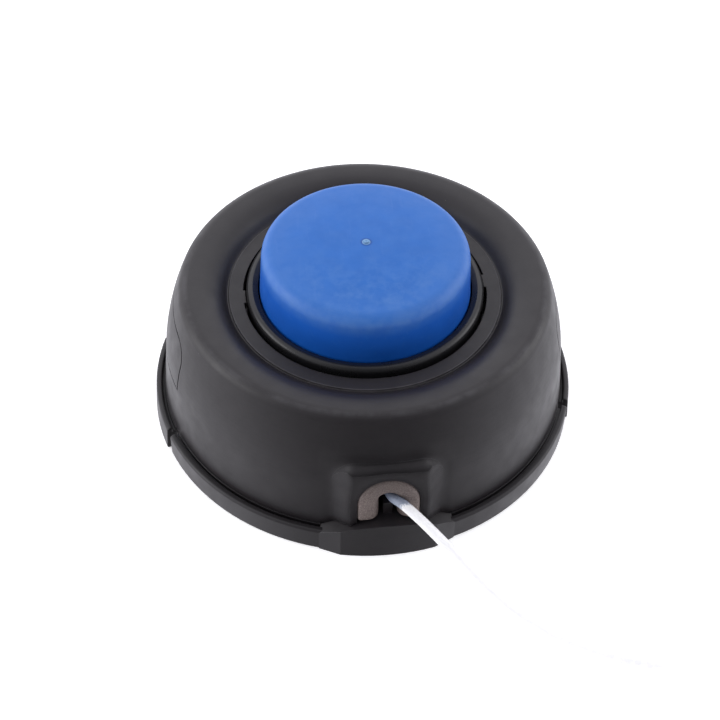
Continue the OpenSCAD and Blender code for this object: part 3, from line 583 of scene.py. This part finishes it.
def blue_plastic():
    """Blue cap: satin, with a paler crown and a band of painted sheen, fine scratches, and a rubbed rounding
    that is lighter also with a painted sheen.
    """
    paint = Paint("blue_plastic")
    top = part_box("tap_button")[1].z
    height = paint.coordinate("Z")

    def band(ends_mm, low=0, high=1):
        start, end = (top - depth * MM for depth in ends_mm)
        return paint.span(height, start, end, low, high)

    # Whole button: a cloudy mix, paler on the crown, which is painted sheen
    cloud = paint.span(paint.noise(7, 4), 0.35, 0.7, 0, 1)
    side = paint.mix(cloud, (0.0041, 0.094, 0.467), (0.0066, 0.107, 0.516))
    crown_with_painted_sheen = paint.mix(cloud, (0.0098, 0.119, 0.447), (0.0148, 0.133, 0.484))
    colour = paint.mix(band(CROWN_MM), side, crown_with_painted_sheen)
    # Painted sheen on the crown, strongest at the front, and the rounding that the ground rubs, lighter also
    # with a painted sheen
    painted_sheen = paint.times(
        paint.span(paint.noise(4.5, 5, roughness=0.65), 0.42, 0.66, 0, 1),
        paint.span(paint.coordinate("Y"), -2 * MM, -22 * MM, 0.2, 1),
    )
    painted_sheen = paint.times(painted_sheen, band(SHEEN_BAND_MM))
    colour = paint.mix(paint.times(painted_sheen, 0.75), colour, (0.057, 0.18, 0.49))
    # The rubbed rounding, lighter also with a painted sheen
    wear_and_painted_light = paint.times(band(RUB_SHEEN_RISE_MM), band(RUB_SHEEN_FALL_MM, 1, 0))
    rub_and_sheen = paint.times(wear_and_painted_light, paint.span(paint.noise(2.5, 4), 0.3, 0.65, 0.5, 0.95))
    colour = paint.mix(rub_and_sheen, colour, (0.052, 0.17, 0.495))
    # Fine scratches, specks, worn edges lighter also with a painted highlight, and the nub's painted
    # highlight with a painted shadow round it
    streaks = paint.span(paint.noise(1.2, 3, paint.stretched(1, 0.08, 1)), 0.62, 0.7, 0, 1)
    colour = paint.mix(paint.times(streaks, 0.1), colour, (0.066, 0.18, 0.51))
    specks = paint.spots(2.4, 0.09)
    colour = paint.mix(paint.times(specks, 0.3), colour, (0.13, 0.25, 0.57))
    # Worn edges, lighter also with a painted highlight
    colour = paint.mix(paint.times(paint.edge_wear_and_highlight(0.35), 0.6), colour, (0.16, 0.3, 0.59))
    # Painted shadow round the nub's foot, then its painted highlight
    off_nub_highlight = paint.plus(paint.from_axis(), -NUB_HIGHLIGHT_R)
    colour = paint.mix(paint.times(paint.span(off_nub_highlight, *NUB_SHADOW_FOOT, 1, 0), 0.75), colour, (0.004, 0.05, 0.25))
    middle = paint.span(paint.from_axis(), *NUB_HIGHLIGHT_MIDDLE, 0, 1)
    nub_highlight = paint.mix(middle, (0.09, 0.22, 0.45), (0.17, 0.33, 0.55))
    colour = paint.mix(paint.span(off_nub_highlight, *NUB_HIGHLIGHT_EDGE, 1, 0), colour, nub_highlight)
    paint.set(
        Base_Color=colour,
        Roughness=paint.span(paint.noise(3, 4), 0.3, 0.75, 0.42, 0.52),
        Specular_IOR_Level=0.31,
        Normal=paint.bump(paint.noise(0.35, 2), 0.01, paint.rounded(0.3)),
    )
    return paint.material


def nylon_line():
    """Round cutting line: milky nylon with faint marks along it, and a painted bluish-grey shade where it
    runs inside the eyelet.
    """
    paint = Paint("nylon_line")
    clean = paint.mix(paint.noise(1.5, 3), (0.95, 0.95, 0.94), (0.99, 0.99, 0.975))
    # Painted shade inside the eyelet, darkest deep in it, with a ragged edge
    out = paint.plus(paint.from_axis(), paint.span(paint.noise(0.5, 3), 0.3, 0.7, -0.4 * MM, 0.4 * MM))
    wear_and_painted_light = paint.mix(paint.span(out, LINE_SHADE_FROM, LINE_SHADE_TO, 0, 1), (0.1, 0.13, 0.2), (0.34, 0.38, 0.46))
    colour = paint.mix(paint.span(out, LINE_SHADE_TO - 0.5 * MM, LINE_SHADE_TO + 0.5 * MM, 0, 1), wear_and_painted_light, clean)
    paint.set(
        Base_Color=colour,
        Roughness=paint.span(paint.noise(2, 2), 0.3, 0.7, 0.22, 0.34),
        Subsurface_Weight=1,
        Subsurface_Radius=(1, 1, 1),
        Subsurface_Scale=3 * MM,
        Normal=paint.bump(paint.noise(0.8, 2, paint.stretched(0.3, 0.3, 1)), 0.008),
    )
    return paint.material


def sintered_metal():
    """Sintered metal eyelet: grey brown, speckled and matt, with painted shade towards its top."""
    paint = Paint("sintered_metal")
    grain = paint.noise(0.3, 3)
    colour = paint.mix(paint.span(grain, 0.35, 0.65, 0, 1), (0.135, 0.107, 0.098), (0.26, 0.213, 0.196))
    low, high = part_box("eyelet_front")
    # Painted shade from the boss above: darker towards the eyelet's top
    painted_shade_under_boss = paint.span(paint.coordinate("Z"), (low.z + high.z) / 2, high.z, 0, 0.45)
    colour = paint.mix(painted_shade_under_boss, colour, (0.05, 0.041, 0.037))
    pores = paint.spots(0.9, 0.12)
    colour = paint.mix(paint.times(pores, 0.6), colour, (0.04, 0.032, 0.028))
    paint.set(
        Base_Color=colour,
        Metallic=0.35,
        Roughness=paint.span(paint.noise(1.5, 3), 0.3, 0.7, 0.5, 0.66),
        Normal=paint.bump(grain, 0.02, paint.rounded(0.2)),
    )
    return paint.material


def metal(name, dark, light, roughness, grain_mm, stretch):
    """Bare or plated steel, with marks that run round the axis or along it."""
    paint = Paint(name)
    marks = paint.noise(grain_mm, 4, paint.stretched(*stretch))
    paint.set(
        Base_Color=paint.mix(paint.noise(3, 3), dark, light),
        Metallic=1,
        Roughness=paint.span(marks, 0.3, 0.7, roughness - 0.06, roughness + 0.08),
        Normal=paint.bump(marks, 0.004, paint.rounded(0.12)),
    )
    return paint.material


def plain_polymer(name, dark, light, roughness, grain_mm):
    """Cage plastic or seal rubber: a matt skin with a fine grain."""
    paint = Paint(name)
    paint.set(
        Base_Color=paint.mix(paint.noise(2, 3), dark, light),
        Roughness=paint.span(paint.noise(1.5, 3), 0.3, 0.7, roughness - 0.08, roughness + 0.08),
        Normal=paint.bump(paint.noise(grain_mm, 2), 0.008, paint.rounded(0.12)),
    )
    return paint.material


FINISHES = {
    "black_plastic": moulded_black("black_plastic", HOUSING_BLACK, 0.42, 0.2),
    "glossy_black_plastic": moulded_black("glossy_black_plastic", SPOOL_BLACK, 0.3, 0.2),
    "blue_plastic": blue_plastic(),
    "nylon_line": nylon_line(),
    "sintered_metal": sintered_metal(),
    "steel": metal("steel", (0.5, 0.5, 0.49), (0.66, 0.66, 0.65), 0.34, 0.8, ROUND_THE_AXIS),
    "spring_steel": metal("spring_steel", (0.2, 0.2, 0.21), (0.34, 0.34, 0.36), 0.36, 0.7, ALONG_THE_AXIS),
    "bearing_steel": metal("bearing_steel", (0.6, 0.6, 0.61), (0.74, 0.74, 0.75), 0.16, 0.5, ROUND_THE_AXIS),
    "cage_plastic": plain_polymer("cage_plastic", (0.4, 0.31, 0.17), (0.52, 0.41, 0.24), 0.45, 0.3),
    "seal_rubber": plain_polymer("seal_rubber", (0.012, 0.012, 0.013), (0.022, 0.021, 0.021), 0.6, 0.25),
}

# The cover has the housing's plastic, with the large radii that its two bosses are moulded with
COVER_FINISH = moulded_black("cover_black_plastic", HOUSING_BLACK, 0.42, 0.35, is_cover=True)


def dress(piece, finish):
    """Gives one material to the whole of a piece."""
    piece.data.materials.clear()
    piece.data.materials.append(finish)


def soft_box(name, place, size, power):
    data = bpy.data.lights.new(name, "AREA")
    data.shape = "RECTANGLE"
    data.size, data.size_y = size
    data.energy = power
    light = new_object(name, data)
    light.location = place
    light.rotation_mode = "QUATERNION"
    light.rotation_quaternion = (Vector(LIGHTS_AIM) - Vector(place)).to_track_quat("-Z", "Y")


def make_world():
    """Soft surroundings like a light tent open at the front: bright behind and beside, dim in front."""
    world = bpy.data.worlds.new("studio")
    bpy.context.scene.world = world
    world.use_nodes = True
    nodes, links = world.node_tree.nodes, world.node_tree.links
    background = nodes["Background"]
    background.inputs["Color"].default_value = WORLD_TINT
    split = nodes.new("ShaderNodeSeparateXYZ")
    links.new(nodes.new("ShaderNodeTexCoord").outputs["Generated"], split.inputs[0])
    aside = nodes.new("ShaderNodeMath")
    aside.operation = "ABSOLUTE"
    links.new(split.outputs["X"], aside.inputs[0])
    behind = nodes.new("ShaderNodeMath")
    behind.operation = "MULTIPLY_ADD"
    links.new(aside.outputs[0], behind.inputs[0])
    behind.inputs[1].default_value = WORLD_SIDES
    links.new(split.outputs["Y"], behind.inputs[2])
    ramp = nodes.new("ShaderNodeMapRange")
    ramp.interpolation_type = "SMOOTHSTEP"
    links.new(behind.outputs[0], ramp.inputs["Value"])
    ramp.inputs["From Min"].default_value = WORLD_FROM
    ramp.inputs["From Max"].default_value = WORLD_TO
    ramp.inputs["To Min"].default_value = WORLD_FRONT
    ramp.inputs["To Max"].default_value = WORLD_BACK
    links.new(ramp.outputs["Result"], background.inputs["Strength"])


def make_studio():
    corners = [(x * FLOOR_HALF, y * FLOOR_HALF, 0) for x, y in ((-1, -1), (1, -1), (1, 1), (-1, 1))]
    floor = mesh_object("floor", corners, [(0, 1, 2, 3)])
    paint = Paint("floor")
    paint.set(
        Base_Color=paint.mix(paint.noise(60, 2), (0.92, 0.92, 0.92), (0.95, 0.95, 0.95)),
        Roughness=0.9,
        Emission_Color=(1, 1, 1, 1),
        Emission_Strength=paint.span(paint.from_axis(), GLOW_FROM, GLOW_TO, 0, FLOOR_GLOW),
    )
    dress(floor, paint.material)
    floor.visible_glossy = False
    for name, (place, size, power) in SOFT_BOXES.items():
        soft_box(name, place, size, power)
    bpy.context.scene.view_settings.view_transform = "Standard"


make_camera()
dress(make_line(), FINISHES["nylon_line"])
dress(make_threaded_insert(), FINISHES["steel"])
dress(make_spring(), FINISHES["spring_steel"])
for part in frame["record"]["subparts"]:
    dress(frame["nodes"][part["node"]], FINISHES[part["material_slot"]])
dress(frame["nodes"]["cover"], COVER_FINISH)
dress(make_cover(), COVER_FINISH)
make_world()
make_studio()
